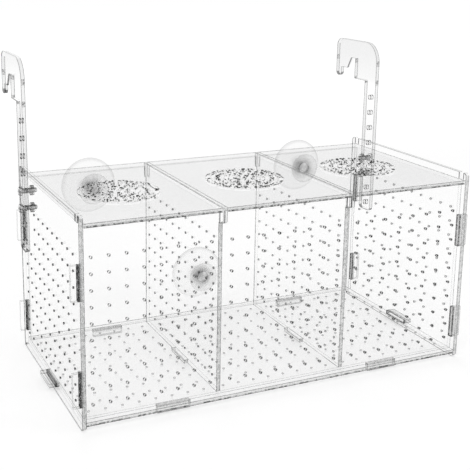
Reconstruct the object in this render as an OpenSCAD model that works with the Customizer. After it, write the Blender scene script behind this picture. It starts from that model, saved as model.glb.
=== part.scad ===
// Fish breeding box of clear sheet: three rooms side by side, perforated walls and floor,
// three lift-off lids, two lift-out dividers, two hooked hangers and three suction cups.
// Origin: middle of the whole object's base rectangle, hangers included, on the surface
// that the end panels' bottom edges stand on. The modules draw y from the box's own middle.
// +X to the right, +Y towards the tank's glass, +Z up. All sizes in millimetres.

/* [Box] */
// Width over the two end panels
box_w = 300; // [260:1:420]
// Depth of the end panels, front to back
box_d = 150; // [130:1:200]
// Height of the end panels
box_h = 145; // [135:1:200]
// Thickness of every sheet
sheet = 3; // [2:0.25:4]
// Front panel's outer face behind the end panels' front edge
front_inset = 4; // [2:0.25:8]
// Back panel's outer face before the end panels' rear edge
back_inset = 5; // [2:0.25:8]
// Underside of the floor above the end panels' bottom edges
floor_raise = 3; // [3:0.25:8]
// Top of the lids below the end panels' top edges
lid_drop = 5; // [3:0.25:8]
// Corner radius of the end panels
corner_r = 3; // [1:0.25:3.5]

/* [Fits] */
// Room round a fixed tab in its slot
tab_gap = 0.15; // [0.1:0.05:0.3]
// Room round a lid or a divider that lifts out
lift_gap = 0.35; // [0.2:0.05:0.6]
// Room round a screw in the sheet and in its nut
screw_gap = 0.1; // [0.05:0.05:0.2]

/* [Tabs] */
// Length of the tabs along the sheet's edge
tab_len = 24; // [16:1:30]
// How far the side tabs stand out of the end panels
tab_out = 4.5; // [1:0.5:6]
// Lower side tab's bottom end above the box's base
low_tab_z = 15; // [12:1:20]
// Upper side tab's top end below the end panels' top edges
high_tab_drop = 33; // [30:1:40]
// Foot tabs' centres in from the end panels' outer faces
foot_tab_in = 66; // [50:1:80]
// How far the foot tabs come out under the floor
foot_tab_out = 2.7; // [1:0.1:3]
// Depth of the dividers' ears below the lids' top
ear_h = 11.5; // [8:0.5:16]
// Lower corner radius of the dividers' ears
ear_r = 3; // [1:0.5:4]
// Width of the notches in the end panels' top edges
notch_w = 5; // [4.5:0.25:6]

/* [Water holes] */
// Diameter of the small water holes
hole_d = 1.8; // [1.2:0.1:2.5]
// Pitch of the holes along the sheet
pitch_h = 12; // [10:0.5:14]
// Pitch of the rows, one above the other
pitch_v = 11.2; // [9:0.1:13]
// Height of the lowest row above the box's base
first_row_z = 15.5; // [13:0.5:18]
// Plain band above the highest row, up to the lids
top_band = 20; // [18:1:30]
// Least plain edge beside the outermost holes of a room
room_edge = 5.5; // [4:0.5:7]
// Least plain edge at the front and rear of a sheet
depth_edge = 12; // [11:0.5:14]

/* [Grilles] */
// Outer diameter of the round grille in each lid
grille_d = 58; // [48:1:70]
// Grille's centre behind the lids' front edge
grille_y = 70; // [60:1:80]
// Width of the grille's arc slots and of its round holes
grille_cut = 3.4; // [2.5:0.1:4]
// Distance from one ring of the grille to the next
ring_step = 6.8; // [6:0.1:8]
// Bridge of sheet left between two arc slots
bridge = 3; // [2:0.1:4]

/* [Hangers] */
// Width of a hanger's bar
bar_w = 16; // [12:0.5:22]
// Bar's rear edge before the end panels' rear edge
bar_inset = 10; // [9:0.5:14]
// Bottom of the bar to the middle of its lowest hole
bar_end = 6.4; // [5:0.1:8]
// Holes in one bar
bar_holes = 8; // [5:1:8]
// Pitch of the bar's holes and of the two screws
bar_pitch = 13.2; // [12.5:0.1:14]
// Upper screw's middle below the end panel's top edge
screw_drop = 15.5; // [14:0.5:20]
// Diameter of the screws' shanks
screw_d = 4; // [3:0.5:5]
// Height of the head's top above the bar's bottom end
head_top = 145; // [140:1:150]
// Height of the head's underside above the bar's bottom end
head_low = 112; // [108:0.5:114]
// Bar's rear edge to the wall that meets the tank's glass
wall_reach = 16; // [12:0.5:20]
// Bar's rear edge to the outside of the hooked lip
head_reach = 45.2; // [42:0.2:52]
// Width of the hooked lip
lip_w = 7.9; // [6:0.1:10]
// Width of the narrow slot for thin glass at its top
thin_slot = 6.5; // [5:0.5:10]
// Height of the narrow slot above the head's underside
thin_slot_h = 17.5; // [14:0.5:20]
// Height of the wide gap above the head's underside
wide_gap_h = 8; // [6:0.5:11]
// Slope's run from the narrow slot out to the wide gap
slope_run = 5.5; // [3:0.5:8]
// Radius of the head's front shoulder
shoulder_r = 17; // [10:1:20]
// Radius of the head's rear top corner
heel_r = 7; // [3:0.5:10]

/* [Screws and nuts] */
// Diameter of a screw's head
screw_head_d = 7; // [6:0.5:9]
// Thickness of a screw's head
screw_head_h = 2.6; // [2:0.1:3.5]
// Shank's length under the head
screw_len = 11.4; // [10:0.2:14]
// Slot across the head, its width
driver_w = 1; // [0.6:0.1:1.4]
// Slot across the head, its depth
driver_h = 1.2; // [0.6:0.1:1.6]
// Nut across its flats
nut_flats = 7; // [6:0.5:9]
// Nut's thickness
nut_h = 3.2; // [2.4:0.1:4]

/* [Suction cups] */
// Diameter of a cup's rim
cup_d = 44; // [36:1:50]
// Rim's distance behind the back panel's outer face
cup_reach = 11; // [9:0.5:14]
// Diameter of the cup's neck in the back panel
cup_neck_d = 9; // [7:0.5:12]
// Diameter of the cup's collar against the back panel
cup_collar_d = 15; // [13:0.5:18]
// Diameter of the cup's button inside the box
cup_button_d = 25; // [18:1:26]
// Thickness of the button at its middle
cup_button_h = 4.5; // [3:0.5:6]
// Thickness of the cup at its middle
cup_wall = 3.2; // [2:0.1:4]
// Upper cups' centres in from the end panels' outer faces
cup_in = 56; // [40:1:70]
// Upper cups' centres below the lids' underside
cup_drop = 14; // [13.5:0.5:20]
// Lower cup's centre above the floor's top
low_cup_up = 32; // [28:1:60]

/* [Hidden] */
$fn = 48;
past = 1;
floor_top = floor_raise + sheet;
lid_top = box_h - lid_drop;
lid_low = lid_top - sheet;
inner_w = box_w - 2 * sheet;
room_w = (inner_w - 2 * sheet) / 3;
foot_tab_x = box_w / 2 - foot_tab_in;
divider_x = (room_w + sheet) / 2;
room_pitch = room_w + sheet;
front_y = -box_d / 2 + front_inset;
back_y = box_d / 2 - back_inset - sheet;
cols = floor((room_w - 2 * room_edge) / pitch_h) + 1;
deep_cols = floor((box_d - 2 * depth_edge) / pitch_h) + 1;
rows = floor((lid_low - top_band - first_row_z) / pitch_v) + 1;
high_tab_z = box_h - high_tab_drop - tab_len;
bar_y = box_d / 2 - bar_inset;
upper_screw_z = box_h - screw_drop;
upper_hole = 3;
bar_z = upper_screw_z - bar_end - upper_hole * bar_pitch;
screw_y = bar_y - bar_w / 2;
middle_y = (box_d / 2 - bar_y - head_reach) / 2;
cup_x = box_w / 2 - cup_in;
upper_cup_z = lid_low - cup_drop;
low_cup_z = floor_top + low_cup_up;

// Section: helpers

// A sheet that stands in the Y-Z plane, drawn as (y, z), with its left face at x.
module side_sheet(x) {
    translate([x, middle_y, 0])
        rotate([90, 0, 90])
            linear_extrude(sheet)
                children();
}

// A sheet that stands in the X-Z plane, drawn as (x, z), with its front face at y.
module cross_sheet(y) {
    translate([0, middle_y + y + sheet, 0])
        rotate([90, 0, 0])
            linear_extrude(sheet)
                children();
}

// A sheet that lies flat, drawn as (x, y), with its underside at z.
module flat_sheet(z) {
    translate([0, middle_y, z])
        linear_extrude(sheet)
            children();
}

module span(u0, v0, u1, v1) {
    translate([u0, v0])
        square([u1 - u0, v1 - v0]);
}

// What a rounded corner takes off: su and sv point from the corner into the sheet.
module corner_waste(u, v, r, su, sv) {
    difference() {
        span(min(u - su * past, u + su * r), min(v - sv * past, v + sv * r),
             max(u - su * past, u + su * r), max(v - sv * past, v + sv * r));
        translate([u + su * r, v + sv * r])
            circle(r);
    }
}

// A slot for a tab that spans (u0, v0) to (u1, v1), with room on every side.
module slot(u0, v0, u1, v1, gap) {
    span(u0 - gap, v0 - gap, u1 + gap, v1 + gap);
}

// Rows of water holes up a standing sheet, centred on u.
module hole_field(u, count) {
    for (c = [0 : count - 1], r = [0 : rows - 1])
        translate([u + (c - (count - 1) / 2) * pitch_h, first_row_z + r * pitch_v])
            circle(d = hole_d);
}

// Section: end panels

// Holes up an end panel, with none behind the hanger's bar.
module end_holes() {
    for (c = [0 : deep_cols - 1], r = [0 : rows - 1]) {
        y = (c - (deep_cols - 1) / 2) * pitch_h;
        z = first_row_z + r * pitch_v;
        if (y < bar_y - bar_w - hole_d || z < bar_z)
            translate([y, z])
                circle(d = hole_d);
    }
}

module end_shape() {
    half = box_d / 2;
    difference() {
        span(-half, 0, half, box_h);
        for (s = [-1, 1]) {
            corner_waste(s * half, 0, corner_r, -s, 1);
            corner_waste(s * half, box_h, corner_r, -s, -1);
        }
        for (y = [front_y, back_y]) {
            slot(y, low_tab_z, y + sheet, low_tab_z + tab_len, tab_gap);
            slot(y, high_tab_z, y + sheet, high_tab_z + tab_len, tab_gap);
            span(y + (sheet - notch_w) / 2, lid_top, y + (sheet + notch_w) / 2, box_h + past);
        }
        slot(-tab_len / 2, floor_raise, tab_len / 2, floor_top, tab_gap);
        end_holes();
        for (k = [0, 1])
            translate([screw_y, upper_screw_z - k * bar_pitch])
                circle(d = screw_d + 2 * screw_gap);
    }
}

module left_end_panel() {
    color([0.97, 0.98, 0.98, 0.4])
        side_sheet(-box_w / 2)
            end_shape();
}

module right_end_panel() {
    color([0.97, 0.98, 0.98, 0.4])
        side_sheet(box_w / 2 - sheet)
            end_shape();
}

// Section: front and back panels

// The outline that the front and back panels share: side tabs, foot tabs, divider notches.
module cross_shape() {
    difference() {
        union() {
            span(-inner_w / 2, floor_top, inner_w / 2, lid_low);
            for (z = [low_tab_z, high_tab_z])
                span(-box_w / 2 - tab_out, z, box_w / 2 + tab_out, z + tab_len);
            for (s = [-1, 1])
                span(s * foot_tab_x - tab_len / 2, floor_raise - foot_tab_out,
                     s * foot_tab_x + tab_len / 2, floor_top + past);
        }
        for (s = [-1, 1])
            slot(s * divider_x - sheet / 2, lid_top - ear_h,
                 s * divider_x + sheet / 2, lid_top, lift_gap);
    }
}

module front_panel() {
    color([0.97, 0.98, 0.98, 0.4])
        cross_sheet(front_y)
            difference() {
                cross_shape();
                for (i = [-1 : 1])
                    hole_field(i * room_pitch, cols);
            }
}

module back_panel() {
    color([0.95, 0.96, 0.96, 0.4])
        cross_sheet(back_y)
            difference() {
                cross_shape();
                for (s = [-1, 1])
                    translate([s * cup_x, upper_cup_z])
                        circle(d = cup_neck_d + 2 * tab_gap);
                translate([0, low_cup_z])
                    circle(d = cup_neck_d + 2 * tab_gap);
            }
}

// Section: floor

module bottom_panel() {
    color([0.93, 0.94, 0.94, 0.4])
        flat_sheet(floor_raise)
            difference() {
                union() {
                    span(-inner_w / 2, -box_d / 2, inner_w / 2, box_d / 2);
                    span(-box_w / 2 - tab_out, -tab_len / 2, box_w / 2 + tab_out, tab_len / 2);
                }
                for (s = [-1, 1], y = [front_y, back_y])
                    slot(s * foot_tab_x - tab_len / 2, y, s * foot_tab_x + tab_len / 2, y + sheet,
                         tab_gap);
                for (s = [-1, 1])
                    slot(s * divider_x - sheet / 2, -tab_len / 2, s * divider_x + sheet / 2,
                         tab_len / 2, lift_gap);
                for (i = [-1 : 1], c = [0 : cols - 1], r = [0 : deep_cols - 1])
                    translate([i * room_pitch + (c - (cols - 1) / 2) * pitch_h,
                               (r - (deep_cols - 1) / 2) * pitch_h])
                        circle(d = hole_d);
            }
}

// Section: dividers

module divider_shape() {
    ear_z = lid_top - ear_h;
    ear_front = -box_d / 2;
    ear_back = back_y + sheet;
    difference() {
        union() {
            span(front_y + sheet + lift_gap, floor_top, back_y - lift_gap, lid_top);
            difference() {
                span(ear_front, ear_z, ear_back, lid_top);
                corner_waste(ear_front, ear_z, ear_r, 1, 1);
                corner_waste(ear_back, ear_z, ear_r, -1, 1);
            }
            span(-tab_len / 2, floor_raise, tab_len / 2, floor_top + past);
        }
        hole_field(0, deep_cols);
    }
}

module left_divider() {
    color([0.97, 0.98, 0.98, 0.4])
        side_sheet(-divider_x - sheet / 2)
            divider_shape();
}

module right_divider() {
    color([0.97, 0.98, 0.98, 0.4])
        side_sheet(divider_x - sheet / 2)
            divider_shape();
}

// Section: lids

// One ring of slots that follow a circle, with a bridge of sheet between two slots.
module arc_slots(r, count, turn) {
    half_angle = (360 / count - bridge / (2 * PI * r) * 360) / 2;
    for (k = [0 : count - 1])
        rotate(turn + k * 360 / count)
            difference() {
                intersection() {
                    circle(r + grille_cut / 2, $fn = 96);
                    polygon([[0, 0],
                             [2 * r, -2 * r * tan(half_angle)],
                             [2 * r, 2 * r * tan(half_angle)]]);
                }
                circle(r - grille_cut / 2, $fn = 96);
            }
}

module ring_holes(r, count, turn) {
    for (k = [0 : count - 1])
        rotate(turn + k * 360 / count)
            translate([r, 0])
                circle(d = grille_cut);
}

// The round grille: a hole in the middle, then rings of holes and rings of arc slots in turn.
module grille() {
    outer_r = (grille_d - grille_cut) / 2;
    circle(d = grille_cut);
    ring_holes(outer_r - 3 * ring_step, 7, 0);
    arc_slots(outer_r - 2 * ring_step, 6, 30);
    ring_holes(outer_r - ring_step, 24, 7.5);
    arc_slots(outer_r, 12, 0);
}

module lid(x) {
    half = room_w / 2 - lift_gap;
    color([0.93, 0.94, 0.94, 0.4])
        flat_sheet(lid_low)
            translate([x, 0])
                difference() {
                    span(-half, -box_d / 2, half, back_y + sheet);
                    translate([0, grille_y - box_d / 2])
                        grille();
                }
}

module left_lid() {
    lid(-room_pitch);
}

module middle_lid() {
    lid(0);
}

module right_lid() {
    lid(room_pitch);
}

// Section: hangers

// Drawn with the bar's rear edge on u = 0 and its bottom end on v = 0.
module hanger_shape() {
    lip_in = head_reach - lip_w;
    gap_top = head_low + wide_gap_h;
    difference() {
        union() {
            difference() {
                span(-bar_w, 0, 0, head_top - shoulder_r);
                corner_waste(-bar_w, 0, ear_r, 1, 1);
                corner_waste(0, 0, ear_r, -1, 1);
            }
            difference() {
                span(-bar_w, head_low, head_reach, head_top);
                corner_waste(-bar_w, head_top, shoulder_r, 1, -1);
                corner_waste(head_reach, head_top, heel_r, -1, -1);
                corner_waste(head_reach, head_low, lip_w / 2, -1, 1);
                polygon([[wall_reach, head_low - past],
                         [wall_reach, head_low + thin_slot_h],
                         [wall_reach + thin_slot, head_low + thin_slot_h],
                         [wall_reach + thin_slot + slope_run, gap_top],
                         [lip_in, gap_top],
                         [lip_in, head_low - past]]);
                corner_waste(lip_in, head_low, lip_w / 2, 1, 1);
            }
        }
        for (k = [0 : bar_holes - 1])
            translate([-bar_w / 2, bar_end + k * bar_pitch])
                circle(d = screw_d + 2 * screw_gap);
    }
}

module hanger(x) {
    color([0.9, 0.92, 0.92, 0.5])
        side_sheet(x)
            translate([bar_y, bar_z])
                hanger_shape();
}

module left_hanger() {
    hanger(-box_w / 2 - sheet);
}

module right_hanger() {
    hanger(box_w / 2);
}

// Section: screws and nuts

// A screw that points along +X from under its head, which starts at x = 0.
module screw_along() {
    rim = screw_head_h / 3;
    difference() {
        rotate([0, 90, 0])
            rotate_extrude()
                polygon([[0, -screw_head_h], [screw_head_d / 2 - rim, -screw_head_h],
                         [screw_head_d / 2, -screw_head_h + rim], [screw_head_d / 2, 0],
                         [screw_d / 2, 0], [screw_d / 2, screw_len - rim],
                         [screw_d / 2 - rim, screw_len], [0, screw_len]]);
        translate([-screw_head_h - past, -screw_head_d / 2 - past, -driver_w / 2])
            cube([driver_h + past, screw_head_d + 2 * past, driver_w]);
    }
}

// side is -1 on the left and 1 on the right, row is 0 for the upper screw and 1 for the lower.
module placed(side, row) {
    translate([side * (box_w / 2 + sheet), middle_y + screw_y, upper_screw_z - row * bar_pitch])
        mirror([side > 0 ? 1 : 0, 0, 0])
            children();
}

module screw(side, row) {
    color([0.92, 0.93, 0.93, 0.6])
        placed(side, row)
            screw_along();
}

module nut(side, row) {
    color([0.9, 0.91, 0.91, 0.6])
        placed(side, row)
            translate([2 * sheet, 0, 0])
                rotate([90, 0, 90])
                    linear_extrude(nut_h)
                        difference() {
                            circle(d = nut_flats / cos(30), $fn = 6);
                            circle(d = screw_d + 2 * screw_gap);
                        }
}

module left_upper_screw() {
    screw(-1, 0);
}

module left_lower_screw() {
    screw(-1, 1);
}

module right_upper_screw() {
    screw(1, 0);
}

module right_lower_screw() {
    screw(1, 1);
}

module left_upper_nut() {
    nut(-1, 0);
}

module left_lower_nut() {
    nut(-1, 1);
}

module right_upper_nut() {
    nut(1, 0);
}

module right_lower_nut() {
    nut(1, 1);
}

// Section: suction cups

// Radius of the sphere that rises by rise over a circle of radius r.
function dome_r(r, rise) = (r * r + rise * rise) / (2 * rise);

// Half section: u is the radius, v runs from the back panel's outer face to the rim.
module cup_section() {
    rim_r = cup_d / 2;
    lip = 0.8;
    start = cup_reach - lip - 8.4;
    outer_rise = cup_reach - lip - start;
    inner_rise = cup_reach - start - cup_wall;
    button_r = cup_button_d / 2;
    intersection() {
        union() {
            difference() {
                union() {
                    intersection() {
                        translate([0, start + dome_r(rim_r, outer_rise)])
                            circle(dome_r(rim_r, outer_rise), $fn = 128);
                        span(0, 0, rim_r, cup_reach - lip);
                    }
                    span(0, cup_reach - lip, rim_r, cup_reach);
                    span(0, 0, cup_collar_d / 2, start + 2);
                }
                translate([0, start + cup_wall + dome_r(rim_r - lip, inner_rise)])
                    circle(dome_r(rim_r - lip, inner_rise), $fn = 128);
            }
            span(0, -sheet - past, cup_neck_d / 2, past);
            intersection() {
                translate([0, -sheet - cup_button_h + dome_r(button_r, cup_button_h)])
                    circle(dome_r(button_r, cup_button_h), $fn = 96);
                span(0, -sheet - cup_button_h, button_r, -sheet);
            }
        }
        span(0, -sheet - cup_button_h, rim_r, cup_reach);
    }
}

module suction_cup(x, z) {
    color([0.86, 0.88, 0.88, 0.5])
        translate([x, middle_y + back_y + sheet, z])
            rotate([-90, 0, 0])
                rotate_extrude()
                    cup_section();
}

module left_suction_cup() {
    suction_cup(-cup_x, upper_cup_z);
}

module right_suction_cup() {
    suction_cup(cup_x, upper_cup_z);
}

module lower_suction_cup() {
    suction_cup(0, low_cup_z);
}

left_end_panel();
right_end_panel();
front_panel();
back_panel();
bottom_panel();
left_divider();
right_divider();
left_lid();
middle_lid();
right_lid();
left_hanger();
right_hanger();
left_upper_screw();
left_lower_screw();
right_upper_screw();
right_lower_screw();
left_upper_nut();
left_lower_nut();
right_upper_nut();
right_lower_nut();
left_suction_cup();
right_suction_cup();
lower_suction_cup();
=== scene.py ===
import math

import bpy
from mathutils import Matrix, Vector


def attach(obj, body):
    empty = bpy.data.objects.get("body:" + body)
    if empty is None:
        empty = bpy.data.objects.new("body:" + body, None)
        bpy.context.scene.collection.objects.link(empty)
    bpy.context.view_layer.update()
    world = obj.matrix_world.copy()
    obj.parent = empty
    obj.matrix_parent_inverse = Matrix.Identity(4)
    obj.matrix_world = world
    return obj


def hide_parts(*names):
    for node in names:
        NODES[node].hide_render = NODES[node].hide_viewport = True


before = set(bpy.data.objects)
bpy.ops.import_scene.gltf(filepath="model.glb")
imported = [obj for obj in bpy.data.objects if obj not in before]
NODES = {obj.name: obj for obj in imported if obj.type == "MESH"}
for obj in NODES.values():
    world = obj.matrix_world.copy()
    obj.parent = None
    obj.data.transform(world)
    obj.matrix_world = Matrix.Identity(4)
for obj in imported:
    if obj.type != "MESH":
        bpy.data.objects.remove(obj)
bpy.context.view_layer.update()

# The box's own sizes in metres, as the CAD has them.
MM = 0.001
SHEET = 3 * MM
HALF_W = 150 * MM
INNER = HALF_W - SHEET
MIDDLE_Y = -17.6 * MM
FRONT_EDGE = MIDDLE_Y - 75 * MM
REAR_EDGE = MIDDLE_Y + 75 * MM
FRONT_Y = MIDDLE_Y - 71 * MM
BACK_Y = MIDDLE_Y + 67 * MM
GLASS_SIDE_Y = BACK_Y + SHEET
FLOOR_TOP = 6 * MM
LID_TOP = 140 * MM
BOX_H = 145 * MM
DIVIDER_X = 49.5 * MM
LID_X = 99 * MM
LID_HALF_W = 48 * MM - 0.35 * MM
SLOT_REACH = 8.4 * MM
NOTCH_DEPTH = 8 * MM

# Water holes
HOLE_R = 0.9 * MM
PITCH_H = 12 * MM
PITCH_V = 11.2 * MM
ROOM_PITCH = 99 * MM
FIRST_ROW_Z = 15.5 * MM
LAST_ROW_Z = FIRST_ROW_Z + 9 * PITCH_V

# Hangers
BAR_Z = 83.5 * MM
BAR_W = 16 * MM
BAR_FRONT_Y = MIDDLE_Y + 49 * MM
HEAD_LOW = 112 * MM
HEAD_TOP = 145 * MM
HEAD_Z = BAR_Z + HEAD_LOW
HEAD_REACH = 61.2 * MM
GLASS_WALL = 32 * MM
THIN_SLOT_H = 17.5 * MM
LIP_WALL = 53.3 * MM
WIDE_GAP_H = 8 * MM
SHOULDER_R = 17 * MM
SHOULDER_LOW = HEAD_TOP - SHOULDER_R
HEEL_R = 7 * MM
HANGER_HOLE_REACH = 2.4 * MM
HANGER_HOLES_TOP = HEAD_Z - 6 * MM
CORNER_REACH = 2.2 * MM

# Screws and nuts
SCREW_Y = MIDDLE_Y + 57 * MM
SCREW_HEIGHTS = (("upper", 129.5 * MM), ("lower", 116.3 * MM))
THREAD_R = 1.68 * MM
THREAD_DEPTH = 0.3 * MM
THREAD_PITCH = 0.7 * MM
THREAD_TURNS = 14
DRIVER_SLOT = (2 * MM, 9 * MM, 1 * MM)
DRIVER_SLOT_OUT = 2.2 * MM
NUT_R = 4.03 * MM
NUT_BORE_R = 2.1 * MM
NUT_H = 3.18 * MM
NUT_MIDDLE = 1.6 * MM
NUT_BEVEL = 0.3 * MM

# A screw's (distance, radius) in mm from under its head: the head, then the shank.
SCREW_PROFILE = [(-2.58, 0.4), (-2.58, 2.3), (-2.4, 2.9), (-2.0, 3.3), (-1.4, 3.48),
                 (-0.02, 3.48), (-0.01, 1.7), (10.9, 1.7), (11.35, 1.2), (11.38, 0.3)]

# Suction cups: middles (x, z), and sizes in mm.
CUPS = {
    "left_suction_cup": (-94 * MM, 123 * MM),
    "right_suction_cup": (94 * MM, 123 * MM),
    "lower_suction_cup": (0.0, 38 * MM),
}
CUP_RIM_R = 22.0
CUP_HOLLOW_R = 21.4
CUP_SKIRT_START_R = 7.6

# A cup's (distance, radius) in mm from the back panel's outer face.
CUP_BUTTON = [(-7.45, 0.6), (-7.3, 4), (-6.9, 7), (-6.1, 9.8), (-4.9, 11.6),
              (-3.9, 12.3), (-3.1, 12.0)]
CUP_NECK = [(-3.05, 4.45), (0.05, 4.45)]
CUP_COLLAR = [(0.1, 6.9), (1.1, 7.4)]
CUP_RIM = [(10.7, CUP_RIM_R), (11.0, 21.75)]
SKIRT_STEPS = 12
HOLLOW_STEPS = 15

# Camera: sizes in the photograph's pixels, and the place that the water holes and the
# sheets' corners gave.
PICTURE = 470
FOCAL = 940.4
MIDDLE_PIXEL = (187, 160)
SENSOR = 36
AZIMUTH, ELEVATION, ROLL = -113.674, 12.798, 0.386
TARGET_Z = 75 * MM
DISTANCE = 717.21 * MM
SIDEWAYS = -40.3 * MM
UPWARDS = 75.18 * MM

# Light
NEAR_LIFT = 0.28
FAR_LIFT = 0.57
SKY_LIGHT = 0.55
LAMP_TARGET = Vector((0, 0, 0.08))
LAMPS = (("key_light", (-0.7, -0.9, 1.3), 0.9, 9),
         ("fill_light", (1.1, -0.6, 0.8), 1.0, 4),
         ("back_light", (0.2, 1.2, 1.0), 0.9, 4))


# Camera
def set_camera():
    """Puts the camera where the photograph was taken."""
    azimuth, elevation, roll = (math.radians(a) for a in (AZIMUTH, ELEVATION, ROLL))
    back = Vector((math.cos(azimuth) * math.cos(elevation),
                   math.sin(azimuth) * math.cos(elevation),
                   math.sin(elevation)))
    level = Vector((0, 0, 1)).cross(back).normalized()
    upright = back.cross(level)
    right = level * math.cos(roll) + upright * math.sin(roll)
    up = upright * math.cos(roll) - level * math.sin(roll)
    place = (Vector((0, MIDDLE_Y, TARGET_Z)) + back * DISTANCE
             + right * SIDEWAYS + up * UPWARDS)
    data = bpy.data.cameras.new("photo_camera")
    data.sensor_width = SENSOR
    data.lens = SENSOR * FOCAL / PICTURE
    data.shift_x = (PICTURE / 2 - MIDDLE_PIXEL[0]) / PICTURE
    data.shift_y = (MIDDLE_PIXEL[1] - PICTURE / 2) / PICTURE
    data.clip_start = 0.01
    camera = bpy.data.objects.new("photo_camera", data)
    bpy.context.collection.objects.link(camera)
    turn = Matrix((right, up, back)).transposed().to_4x4()
    camera.matrix_world = Matrix.Translation(place) @ turn
    bpy.context.scene.camera = camera


# Shader kit
class Wire:
    """A shader socket that does its maths with Python's operators."""

    def __init__(self, finish, socket):
        self.finish = finish
        self.socket = socket

    def _maths(self, operation, first, second):
        return self.finish.add("ShaderNodeMath", {"operation": operation},
                               {0: first, 1: second})

    def __add__(self, other):
        return self._maths("ADD", self, other)

    __radd__ = __add__

    def __sub__(self, other):
        return self._maths("SUBTRACT", self, other)

    def __rsub__(self, other):
        return self._maths("SUBTRACT", other, self)

    def __mul__(self, other):
        return self._maths("MULTIPLY", self, other)

    __rmul__ = __mul__

    def __truediv__(self, other):
        return self._maths("DIVIDE", self, other)

    def __pow__(self, other):
        return self._maths("POWER", self, other)

    def __gt__(self, other):
        return self._maths("GREATER_THAN", self, other)

    def __lt__(self, other):
        return self._maths("LESS_THAN", self, other)

    def __abs__(self):
        return self._maths("ABSOLUTE", self, 0.0)

    def least(self, other):
        return self._maths("MINIMUM", self, other)

    def most(self, other):
        return self._maths("MAXIMUM", self, other)

    def fold(self, half):
        """The distance to the nearest multiple of twice half."""
        return self._maths("PINGPONG", self, half)

    def sine(self):
        return self._maths("SINE", self, 0.0)


class Finish:
    """One procedural material: add() puts in a node and hands back one output of it."""

    def __init__(self, name, holder=None):
        self.material = holder or bpy.data.materials.new(name)
        self.material.use_nodes = True
        self.nodes = self.material.node_tree.nodes
        self.links = self.material.node_tree.links
        self.nodes.clear()

    def add(self, kind, settings=None, values=None, out=0):
        node = self.nodes.new(kind)
        for key, value in (settings or {}).items():
            setattr(node, key, value)
        for key, value in (values or {}).items():
            if isinstance(value, Wire):
                self.links.new(value.socket, node.inputs[key])
            else:
                node.inputs[key].default_value = value
        return Wire(self, node.outputs[out])

    def place(self, part="Object"):
        """The object coordinates, or the object normal, whole and as three wires."""
        spot = self.add("ShaderNodeTexCoord", out=part)
        return spot, [self.add("ShaderNodeSeparateXYZ", None, {0: spot}, axis)
                      for axis in "XYZ"]

    def noise(self, spot, scale, detail=2.0, rough=0.5):
        return self.add("ShaderNodeTexNoise", None,
                        {"Vector": spot, "Scale": scale, "Detail": detail,
                         "Roughness": rough})

    def ease(self, value, low, high, to_low=0.0, to_high=1.0):
        """Runs smoothly from to_low to to_high while value runs from low to high."""
        return self.add("ShaderNodeMapRange", {"interpolation_type": "SMOOTHSTEP"},
                        {0: value, 1: low, 2: high, 3: to_low, 4: to_high})

    def blend(self, factor, first, second):
        """Goes from the first colour to the second as factor goes from 0 to 1."""
        return self.add("ShaderNodeMix", {"data_type": "RGBA"},
                        {0: factor, 6: first, 7: second}, 2)

    def bump(self, height, strength, distance):
        return self.add("ShaderNodeBump", None,
                        {"Height": height, "Strength": strength, "Distance": distance})

    def rays(self, *kinds):
        """1 for a ray of any of the kinds, or else 0."""
        seen = self.add("ShaderNodeLightPath", out=f"Is {kinds[0]} Ray")
        for kind in kinds[1:]:
            seen = seen.most(self.add("ShaderNodeLightPath", out=f"Is {kind} Ray"))
        return seen

    def finish(self, **sockets):
        """Closes the material with one Principled shader."""
        values = {}
        for key, value in sockets.items():
            label = "IOR" if key == "ior" else key.replace("_", " ").title()
            values[label] = value
        self.close(self.add("ShaderNodeBsdfPrincipled", None, values))
        return self.material

    def close(self, shader, output="ShaderNodeOutputMaterial"):
        node = self.nodes.new(output)
        self.links.new(shader.socket, node.inputs["Surface"])


def grey(level, tint=0.0):
    """A grey with a touch of green, as cast sheet has."""
    return (level * (1 - tint), level, level * (1 - tint * 0.3), 1.0)


# Sheet finishes
def to_room_column(x):
    """The distance to the nearest column of water holes, counted in each room."""
    in_room = x.fold(ROOM_PITCH / 2)
    return (in_room - PITCH_H / 2).fold(PITCH_H / 2) + (in_room > 4 * PITCH_H)


def to_deep_column(y):
    """The distance to the nearest column of water holes from front to rear."""
    from_middle = abs(y - MIDDLE_Y)
    return from_middle.fold(PITCH_H / 2) + (from_middle > 5.5 * PITCH_H)


def to_row(z):
    """The distance to the nearest row of water holes."""
    return ((z - FIRST_ROW_Z).fold(PITCH_V / 2) + (z < FIRST_ROW_Z - PITCH_V / 2)
            + (z > LAST_ROW_Z + PITCH_V / 2))


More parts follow.
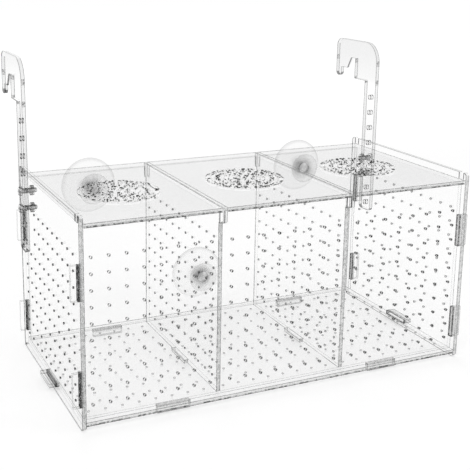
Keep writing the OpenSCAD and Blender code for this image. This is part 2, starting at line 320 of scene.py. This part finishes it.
def clear_sheet(name, across, middle, body, face, near, reach,
                fill=0.5, heavy=0, slots=(), slot_ink=1.0, thin=1.0, speckle=False,
                grid=None, ring_ink=0.24, hole_ink=1.0, bare=None):
    """Laser-cut clear sheet: faces hardly seen, cut edges grey between two dark lines.

    across is the axis through the sheet (0, 1 or 2), and middle its mid plane there.
    body holds the sheet's low and high ends, without tabs, on its two other axes.
    face says how much of a face is seen.
    near is the side (-1 or 1) where the holes' walls are dark, and reach is how deep.
    fill says how grey the front edges are, and heavy is the side where they are
    darkest.
    slots names the axes on which a cut close to the sheet's ends is a tab's slot.
    thin says how strong the lines of all but the front edges are.
    speckle puts black and white flecks on the holes' walls.
    grid holds the distances to the water holes' lines on the two other axes.
    slot_ink, ring_ink and hole_ink say how dark the slots, the rings round the water
    holes and the holes' walls are, and bare is the corner past which no holes are.
    """
    f = Finish(name)
    spot, xyz = f.place("Object")
    normal = f.place("Normal")[1]
    smear = f.noise(spot, 14.0, 4.0, 0.6)
    grain = f.noise(spot, 420.0, 2.0, 0.5)
    mottle = f.ease(grain, 0.4, 0.62)

    # Where on the sheet a point is: on a face, the outer edge or a cut in the sheet.
    flat = [axis for axis in range(3) if axis != across]
    rooms = {axis: (xyz[axis] - low).least(high - xyz[axis])
             for axis, (low, high) in zip(flat, body)}
    inside = rooms[flat[0]].least(rooms[flat[1]])
    wall = abs(normal[across]) < 0.5
    outline = wall * (inside < 0.4 * MM)
    cut = wall - outline
    bold = (abs(normal[1]) > 0.5) * (xyz[1] < MIDDLE_Y)
    tab = inside < -0.3 * MM
    level = (xyz[across] - middle) / (SHEET / 2)

    # The outer edge: two dark lines on grey at the front, and one line elsewhere.
    both = f.ease(abs(level), 0.6, 0.95)
    one = f.ease(level * near, 0.45, 0.8)
    weight = f.ease(level * heavy, -0.1, 0.5) * (0.45 + mottle * 0.55)
    dark = both.most(weight)
    bold_alpha = fill * (0.75 + mottle * 0.5) + dark * (0.9 - fill)
    thin_alpha = 0.04 + thin * (one * (0.55 + mottle * 0.4) + (1 - one) * both * 0.1)
    plain_alpha = bold * bold_alpha + (1 - bold) * thin_alpha
    tab_alpha = 0.25 + both * 0.6
    edge_alpha = tab * tab_alpha + (1 - tab) * plain_alpha
    edge_tone = f.blend(dark, grey(0.36, 0.02), grey(0.03, 0.02))

    # The faces: a faint line along the outer edge, and rings round the water holes.
    rim = (f.ease(inside, 0.15 * MM, 0.8 * MM, 1.0, 0.0) * (inside > -0.05 * MM)
           * (1 - wall))
    ring = 0.0
    if grid:
        off = grid[0](xyz[flat[0]]) ** 2.0 + grid[1](xyz[flat[1]]) ** 2.0
        if bare:
            off = off + (xyz[flat[0]] > bare[0]) * (xyz[flat[1]] > bare[1])
        ring = (f.ease(off ** 0.5, HOLE_R + 0.1 * MM, HOLE_R + 0.55 * MM, 1.0, 0.0)
                * (level * near > 0) * ring_ink)
    face_alpha = face * (0.8 + smear * 0.4) + ring

    # The holes' walls: dark near one face, and painted shade darkens one half of each
    # hole, on the side its wall faces.
    brink = f.ease(near * level, 1 - 3.4 * reach / SHEET, 1 - 1.6 * reach / SHEET)
    if speckle:
        flecks = f.ease(f.noise(spot, 640.0, 1.0), 0.52, 0.545)
        hole_alpha = brink * (0.28 + flecks * 0.72)
        hole_tone = f.blend(flecks, grey(0.9), grey(0.01))
    else:
        along, other = (0, 2) if across == 1 else (1, 2 - across)
        # Painted shade: one half of each hole's wall, picked by the way the wall faces,
        # is darker.
        facing = normal[along] * 0.85 + normal[other] * 0.35
        painted_crescent_shade = f.ease(facing, -0.3, 0.5, 1.0, 0.0)
        hole_alpha = hole_ink * (0.06 + 0.94 * brink) * (0.4 + painted_crescent_shade * 0.6)
        hole_tone = grey(0.02)

    tone = f.blend(wall, grey(0.2, 0.02), hole_tone)
    tone = f.blend(outline, tone, edge_tone)
    alpha = (1 - wall) * face_alpha + rim * 0.22 * thin + outline * edge_alpha
    if slots:
        # The slots lie close to the sheet's ends and below the notches in its top edge.
        by_end = rooms[slots[0]]
        for axis in slots[1:]:
            by_end = by_end.least(rooms[axis])
        slot = cut * (by_end < SLOT_REACH) * (xyz[2] < LID_TOP - NOTCH_DEPTH)
        outer = f.ease(level * near, -0.7, 0.9)
        slot_alpha = slot_ink * (0.35 + outer * 0.65 * (0.55 + mottle * 0.45))
        alpha = alpha + slot * slot_alpha + (cut - slot) * hole_alpha
        tone = f.blend(slot, tone, f.blend(outer, grey(0.25, 0.02), grey(0.01)))
    else:
        alpha = alpha + cut * hole_alpha
    rough = 0.06 + smear * 0.08 + wall * (0.16 + grain * 0.2)
    ripple = smear * (1 - wall) * 0.3 + grain * wall
    return f.finish(base_color=tone, alpha=alpha, roughness=rough, ior=1.49,
                    normal=f.bump(ripple, 0.25, 0.0004))


def round_corner(radius, first, second):
    """How far inside a round corner a point is, from how far past its middle it is."""
    return radius - (first.most(0.0) ** 2.0 + second.most(0.0) ** 2.0) ** 0.5


def hanger_room(across, above):
    """How far inside the outline of a hanger's face a point is."""
    shoulder = round_corner(SHOULDER_R, SHOULDER_R - across, above - SHOULDER_LOW)
    heel = round_corner(HEEL_R, across - (HEAD_REACH - HEEL_R),
                        above - (HEAD_TOP - HEEL_R))
    under = above - HEAD_LOW + (across < BAR_W)
    glass_wall = abs(across - GLASS_WALL) + (above > HEAD_LOW + THIN_SLOT_H)
    lip_wall = abs(across - LIP_WALL) + (above > HEAD_LOW + WIDE_GAP_H)
    head = across.least(HEAD_REACH - across)
    for room in (shoulder, heel, under, glass_wall, lip_wall):
        head = head.least(room)
    bar = across.least(BAR_W - across).least(above)
    in_head = above > HEAD_LOW
    return in_head * head + (1 - in_head) * bar


def hanger_sheet(name, middle):
    """The hangers' sheet: a grey head on a clearer bar, dark edges, lined holes."""
    f = Finish(name)
    spot, xyz = f.place("Object")
    normal = f.place("Normal")[1]
    smear = f.noise(spot, 22.0, 4.0, 0.6)
    grain = f.noise(spot, 380.0, 2.0)
    flecks = f.ease(f.noise(spot, 900.0, 1.0), 0.5, 0.56)
    wall = abs(normal[0]) < 0.5
    front = wall * (normal[1] < -0.3) * (normal[2] > -0.3)
    level = (xyz[0] - middle) / (SHEET / 2)
    across = xyz[1] - BAR_FRONT_Y
    above = xyz[2] - BAR_Z
    head = f.ease(xyz[2], HANGER_HOLES_TOP, HEAD_Z + 4 * MM)
    hole = (wall * (abs(xyz[1] - SCREW_Y) < HANGER_HOLE_REACH)
            * (xyz[2] > BAR_Z + 2 * MM) * (xyz[2] < HANGER_HOLES_TOP))
    rim = f.ease(hanger_room(across, above), 0.2 * MM, 1.1 * MM, 1.0, 0.0) * (1 - wall)

    # Painted shade darkens the small round corners, and painted dark marks stand for
    # the head's corners seen through the edge.
    painted_bend_shade = (f.ease(abs(normal[1] * normal[2]), 0.1, 0.28) * (1 - hole)
            * (above < HEAD_LOW + WIDE_GAP_H))
    corner_height = abs(above - HEAD_LOW).least(abs(above - SHOULDER_LOW))
    painted_corner_shade = front * (corner_height < CORNER_REACH) * (0.6 + flecks * 0.4)
    dark = painted_bend_shade.most(painted_corner_shade)

    line = f.ease(abs(level), 0.5, 0.95)
    outer = f.ease(level * -1, 0.3, 0.7)
    # Painted shade: walls facing up or down, below the top of the glass slot, are dark
    # on their half towards negative x.
    lower = (wall * (abs(normal[2]) > 0.3) * (above < HEAD_LOW + THIN_SLOT_H + 1 * MM)
             * f.ease(level * -1, -0.2, 0.2))
    edge_tone = f.blend(line.most(lower), grey(0.3, 0.02), grey(0.02, 0.02))
    # The screw holes' walls have two dark lines on a pale middle. Painted shade makes
    # the lines darker where the wall faces up or down.
    steep = f.ease(abs(normal[2]), 0.3, 0.7)
    hole_line = f.ease(abs(level), 0.15, 0.55) * (0.5 + steep * 0.5)
    edge_tone = f.blend(hole, edge_tone, f.blend(hole_line, grey(0.9), grey(0.01)))
    edge_tone = f.blend(dark, edge_tone, grey(0.02))
    tone = f.blend(wall, grey(0.2, 0.01), edge_tone)
    edge = front * (0.24 + line * 0.5) + (1 - front) * (0.05 + outer * 0.7)
    edge = edge.most(lower * 0.8)
    edge = edge * (1 - hole) + hole * (0.25 + hole_line * 0.75)
    ink = edge.most(dark * 0.8)
    alpha = ((1 - wall) * (0.015 + head * 0.065 + smear * 0.02 + rim * 0.18)
             + wall * ink * (0.7 + grain * 0.5))
    rough = 0.07 + smear * 0.08 + wall * 0.15
    return f.finish(base_color=tone, alpha=alpha, roughness=rough, ior=1.49,
                    normal=f.bump(grain * wall + smear * 0.3, 0.3, 0.0003))


# Finishes of the small pieces
def clear_plastic(name, axis_y, axis_z):
    """Clear moulded screws and nuts: painted shade on faces turned up and down, as a
    clear rod looks, and dark flecks near the axis.
    """
    f = Finish(name)
    spot, xyz = f.place("Object")
    off = ((xyz[1] - axis_y) ** 2.0 + (xyz[2] - axis_z) ** 2.0) ** 0.5
    core = f.ease(off, 1.2 * MM, 2.8 * MM, 1.0, 0.0)
    cloud = f.noise(spot, 520.0, 3.0)
    flecks = f.ease(f.noise(spot, 760.0, 2.0), 0.5, 0.55)
    # Painted shade: faces turned up or down are dark, mixed with random dark flecks
    # near the axis.
    dark = f.ease(abs(f.place("Normal")[1][2]), 0.5, 0.75).most(flecks * core * 0.7)
    tone = f.blend(dark, grey(0.85), grey(0.02))
    alpha = 0.16 + core * 0.1 + dark * 0.5
    return f.finish(base_color=tone, alpha=alpha, roughness=0.12 + cloud * 0.15,
                    ior=1.49, normal=f.bump(cloud, 0.2, 0.0002))


def clear_rubber(name, axis_x, axis_z):
    """The soft clear rubber of a cup: pale skirt, darker core, fine moulding rings."""
    f = Finish(name)
    spot, xyz = f.place("Object")
    off = ((xyz[0] - axis_x) ** 2.0 + (xyz[2] - axis_z) ** 2.0) ** 0.5
    back = xyz[1] - GLASS_SIDE_Y
    core = f.ease(off, 5.0 * MM, 12.5 * MM, 1.0, 0.0)
    # Painted shade: the dark rim line grows stronger towards the top of the cup.
    high = f.ease(xyz[2] - axis_z, -15 * MM, 18 * MM, 0.45, 1.0)
    rim = f.ease(off, 18.8 * MM, 21.6 * MM) * high
    knob = f.ease(back, -3.2 * MM, -2.8 * MM, 1.0, 0.0)
    knob_rim = knob * f.ease(off, 9.5 * MM, 12.2 * MM)
    heart = f.ease(off, 2.6 * MM, 5.0 * MM, 1.0, 0.0) * 0.2
    root = (f.ease(back, 2.0 * MM, 3.5 * MM) * f.ease(off, 4.0 * MM, 8.5 * MM, 1.0, 0.0)
            * 0.2)
    cloud = f.noise(spot, 130.0, 4.0, 0.65)
    patch = f.ease(cloud, 0.38, 0.62)
    rings = (off * (2 * math.pi / (1.6 * MM))).sine()
    tone = f.blend(core, grey(0.4), grey(0.1))
    tone = f.blend(rim, tone, grey(0.2))
    alpha = (0.02 + core * (0.05 + patch * 0.13) + rim * 0.1 + knob_rim * 0.1
             + heart + root + cloud * 0.03)
    return f.finish(base_color=tone, alpha=alpha, roughness=0.42 + cloud * 0.2,
                    ior=1.45, normal=f.bump(rings + cloud * 2.0, 0.15, 0.0002))


# Hand modelling
def unselect():
    bpy.ops.object.select_all(action="DESELECT")


def pick(piece):
    """Selects one piece alone and makes it the active one."""
    unselect()
    piece.select_set(True)
    bpy.context.view_layer.objects.active = piece


def settle(piece):
    """Leaves a piece at the origin, with its place in its mesh."""
    pick(piece)
    bpy.ops.object.transform_apply(location=True, rotation=True, scale=True)
    return piece


def smooth(piece, degrees):
    pick(piece)
    bpy.ops.object.shade_smooth_by_angle(angle=math.radians(degrees))


def face_outwards():
    """Turns all faces of the mesh in edit mode outwards."""
    bpy.ops.mesh.select_all(action="SELECT")
    bpy.ops.mesh.normals_make_consistent(inside=False)


def turned(name, centre, along, stations, sides):
    """Turns a closed shape by extruding and resizing one ring.

    along is the axis the shape is turned on, and stations are its (distance, radius)
    pairs in millimetres, counted from centre.
    """
    axis = Vector(along)
    stations = [(distance * MM, radius * MM) for distance, radius in stations]
    start, radius = stations[0]
    unselect()
    turn = axis.to_track_quat("Z", "Y").to_euler()
    bpy.ops.mesh.primitive_circle_add(vertices=sides, radius=radius, fill_type="NGON",
                                      location=Vector(centre) + axis * start,
                                      rotation=turn)
    piece = bpy.context.active_object
    piece.name = name
    bpy.ops.object.mode_set(mode="EDIT")
    bpy.ops.mesh.select_all(action="SELECT")
    for (here, old), (there, new) in zip(stations, stations[1:]):
        bpy.ops.mesh.extrude_region_move(
            TRANSFORM_OT_translate={"value": axis * (there - here)})
        size = new / old
        bpy.ops.transform.resize(value=(size, size, size),
                                 center_override=Vector(centre) + axis * there)
    face_outwards()
    bpy.ops.object.mode_set(mode="OBJECT")
    return settle(piece)


def cut_away(piece, cutter):
    """Takes the cutter's shape out of the piece."""
    knife = piece.modifiers.new("cut", "BOOLEAN")
    knife.operation = "DIFFERENCE"
    knife.solver = "EXACT"
    knife.object = cutter
    pick(piece)
    bpy.ops.object.modifier_apply(modifier="cut")
    bpy.data.objects.remove(cutter)


def wear(piece, node, finish):
    """Puts a finish on a piece that stands for a CAD node."""
    piece.data.materials.clear()
    piece.data.materials.append(finish)
    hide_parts(node)
    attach(piece, "box")


# Suction cups
def suction_cup(node, x, z):
    """A soft cup: domed button inside the box, neck, collar and a thin flared skirt."""
    skirt = []
    for k in range(SKIRT_STEPS + 1):
        r = CUP_SKIRT_START_R + (CUP_RIM_R - CUP_SKIRT_START_R) * k / SKIRT_STEPS
        skirt.append((1.9 + 8.3 * ((r - 6.5) / 15.5) ** 1.7, r))
    hollow = []
    for k in range(HOLLOW_STEPS):
        r = CUP_HOLLOW_R * (1 - k / HOLLOW_STEPS)
        hollow.append((4.9 + 6.0 * (r / CUP_HOLLOW_R) ** 2, max(r, 0.5)))
    profile = CUP_BUTTON + CUP_NECK + CUP_COLLAR + skirt + CUP_RIM + hollow
    cup = turned(node + "_soft", (x, GLASS_SIDE_Y, z), (0, 1, 0), profile, 64)
    smooth(cup, 50)
    wear(cup, node, clear_rubber(node + "_rubber", x, z))


# Screws and nuts
def screw_thread(seat, side, z):
    """A ridge wound round the shank, from a small triangle."""
    unselect()
    bpy.ops.mesh.primitive_circle_add(vertices=3, radius=THREAD_DEPTH,
                                      fill_type="NOTHING", location=(0, THREAD_R, 0))
    thread = bpy.context.active_object
    bpy.ops.object.transform_apply(location=True, rotation=False, scale=False)
    wind = thread.modifiers.new("wind", "SCREW")
    wind.axis = "X"
    wind.angle = 2 * math.pi
    wind.screw_offset = -side * THREAD_PITCH
    wind.iterations = THREAD_TURNS
    wind.steps = 20
    wind.render_steps = 20
    wind.use_merge_vertices = True
    wind.merge_threshold = 0.00001
    bpy.ops.object.modifier_apply(modifier="wind")
    thread.location = (seat - side * THREAD_PITCH, SCREW_Y, z)
    settle(thread)
    bpy.ops.object.mode_set(mode="EDIT")
    bpy.ops.mesh.select_all(action="SELECT")
    bpy.ops.mesh.fill_holes(sides=4)
    face_outwards()
    bpy.ops.object.mode_set(mode="OBJECT")
    return thread


def screw(node, side, z):
    """A clear pan-head screw with a driver slot and a cut thread."""
    seat = side * (HALF_W + SHEET)
    body = turned(node + "_moulded", (seat, SCREW_Y, z), (-side, 0, 0),
                  SCREW_PROFILE, 32)
    slot_middle = (seat + side * DRIVER_SLOT_OUT, SCREW_Y, z)
    unselect()
    bpy.ops.mesh.primitive_cube_add(size=1, location=slot_middle, scale=DRIVER_SLOT)
    cut_away(body, settle(bpy.context.active_object))
    thread = screw_thread(seat, side, z)
    pick(body)
    thread.select_set(True)
    bpy.ops.object.join()
    smooth(body, 40)
    wear(body, node, clear_plastic(node + "_plastic", SCREW_Y, z))


def nut(node, side, z):
    """A clear hexagon nut with rounded corners and a bore for the screw."""
    middle = (side * (HALF_W - SHEET - NUT_MIDDLE), SCREW_Y, z)
    unselect()
    bpy.ops.mesh.primitive_cylinder_add(vertices=6, radius=NUT_R, depth=NUT_H,
                                        location=middle,
                                        rotation=(math.pi / 2, 0, math.pi / 2))
    body = settle(bpy.context.active_object)
    body.name = node + "_moulded"
    unselect()
    bpy.ops.mesh.primitive_cylinder_add(vertices=32, radius=NUT_BORE_R, depth=6 * MM,
                                        location=middle, rotation=(0, math.pi / 2, 0))
    cut_away(body, settle(bpy.context.active_object))
    soften = body.modifiers.new("soften", "BEVEL")
    soften.width = NUT_BEVEL
    soften.segments = 2
    soften.limit_method = "ANGLE"
    pick(body)
    bpy.ops.object.modifier_apply(modifier="soften")
    smooth(body, 40)
    wear(body, node, clear_plastic(node + "_plastic", SCREW_Y, z))


# Floor and light
def set_floor():
    """A pale floor that is lifted to white where the camera sees it."""
    unselect()
    bpy.ops.mesh.primitive_plane_add(size=8)
    floor = bpy.context.active_object
    floor.name = "studio_floor"
    f = Finish("pale_floor")
    spot, xyz = f.place("Object")
    away = (xyz[0] ** 2.0 + xyz[1] ** 2.0) ** 0.5
    lift = (f.ease(away, 0.6, 1.8, NEAR_LIFT, FAR_LIFT)
            * f.rays("Camera", "Glossy", "Transmission"))
    grain = f.noise(spot, 30.0, 3.0)
    paint = f.add("ShaderNodeBsdfDiffuse", None,
                  {"Color": f.blend(grain, grey(0.79), grey(0.81))})
    glow = f.add("ShaderNodeEmission", None, {"Color": lift, "Strength": 1.0})
    f.close(f.add("ShaderNodeAddShader", None, {0: paint, 1: glow}))
    floor.data.materials.append(f.material)


def set_sky():
    """A white sky, dimmer as a light than as a background."""
    world = bpy.data.worlds.new("studio")
    bpy.context.scene.world = world
    f = Finish("studio", world)
    strength = f.add("ShaderNodeMapRange", None,
                     {"Value": f.rays("Camera", "Transmission"),
                      "To Min": SKY_LIGHT, "To Max": 1.0})
    sky = f.add("ShaderNodeBackground", None,
                {"Color": (1, 1, 1, 1), "Strength": strength})
    f.close(sky, "ShaderNodeOutputWorld")


def set_lamps():
    for name, place, size, watts in LAMPS:
        data = bpy.data.lights.new(name, "AREA")
        data.size = size
        data.energy = watts
        lamp = bpy.data.objects.new(name, data)
        bpy.context.collection.objects.link(lamp)
        lamp.location = place
        aim = LAMP_TARGET - Vector(place)
        lamp.rotation_euler = aim.to_track_quat("-Z", "Y").to_euler()


# Build
def dress(node, finish):
    for holder in NODES[node].material_slots:
        holder.material = finish


def dress_end_panels():
    body = ((FRONT_EDGE, REAR_EDGE), (0, BOX_H))
    behind_bar = (MIDDLE_Y + 42 * MM, BAR_Z + 4.8 * MM)
    for node, x, thin in (("left_end_panel", -HALF_W + SHEET / 2, 1.2),
                          ("right_end_panel", HALF_W - SHEET / 2, 1.6)):
        dress(node, clear_sheet(
            node + "_sheet", across=0, middle=x, body=body, face=0.009, near=-1,
            reach=0.65 * MM, fill=0.48, slots=(1, 2), slot_ink=1.15, hole_ink=0.85,
            thin=thin, grid=(to_deep_column, to_row), bare=behind_bar))


def dress_cross_panels():
    body = ((-INNER, INNER), (FLOOR_TOP, LID_TOP - SHEET))
    dress("front_panel", clear_sheet(
        "front_sheet", across=1, middle=FRONT_Y + SHEET / 2, body=body, face=0.004,
        near=-1, reach=1.2 * MM, grid=(to_room_column, to_row), ring_ink=0.45))
    dress("back_panel", clear_sheet(
        "back_sheet", across=1, middle=BACK_Y + SHEET / 2, body=body, face=0.005,
        near=-1, reach=0.8 * MM))


def dress_bottom_panel():
    body = ((-INNER, INNER), (FRONT_EDGE, REAR_EDGE))
    dress("bottom_panel", clear_sheet(
        "floor_sheet", across=2, middle=FLOOR_TOP - SHEET / 2, body=body, face=0.022,
        near=1, reach=0.5 * MM, fill=0.3, heavy=-1, slots=(1,), slot_ink=0.5, thin=0.7,
        ring_ink=0.1, hole_ink=0.5, grid=(to_room_column, to_deep_column)))


def dress_dividers():
    body = ((FRONT_Y + SHEET, BACK_Y), (FLOOR_TOP, LID_TOP))
    for node, x in (("left_divider", -DIVIDER_X), ("right_divider", DIVIDER_X)):
        dress(node, clear_sheet(
            node + "_sheet", across=0, middle=x, body=body, face=0.006, near=-1,
            reach=0.6 * MM, fill=0.5, grid=(to_deep_column, to_row), ring_ink=0.16,
            hole_ink=0.75))


def dress_lids():
    for node, x in (("left_lid", -LID_X), ("middle_lid", 0.0), ("right_lid", LID_X)):
        body = ((x - LID_HALF_W, x + LID_HALF_W), (FRONT_EDGE, GLASS_SIDE_Y))
        dress(node, clear_sheet(
            node + "_sheet", across=2, middle=LID_TOP - SHEET / 2, body=body,
            face=0.098, near=1, reach=0.85 * MM, fill=0.25, heavy=-1, thin=0.55,
            speckle=True))


def dress_hangers():
    dress("left_hanger", hanger_sheet("left_hanger_sheet", -HALF_W - SHEET / 2))
    dress("right_hanger", hanger_sheet("right_hanger_sheet", HALF_W + SHEET / 2))


bpy.context.scene.view_settings.view_transform = "Standard"
bpy.context.scene.cycles.transparent_max_bounces = 64
set_camera()
set_floor()
set_sky()
set_lamps()
dress_end_panels()
dress_cross_panels()
dress_bottom_panel()
dress_dividers()
dress_lids()
dress_hangers()
for cup_node, (cup_x, cup_z) in CUPS.items():
    suction_cup(cup_node, cup_x, cup_z)
for side_name, side_sign in (("left", -1), ("right", 1)):
    for height_name, screw_z in SCREW_HEIGHTS:
        screw(f"{side_name}_{height_name}_screw", side_sign, screw_z)
        nut(f"{side_name}_{height_name}_nut", side_sign, screw_z)
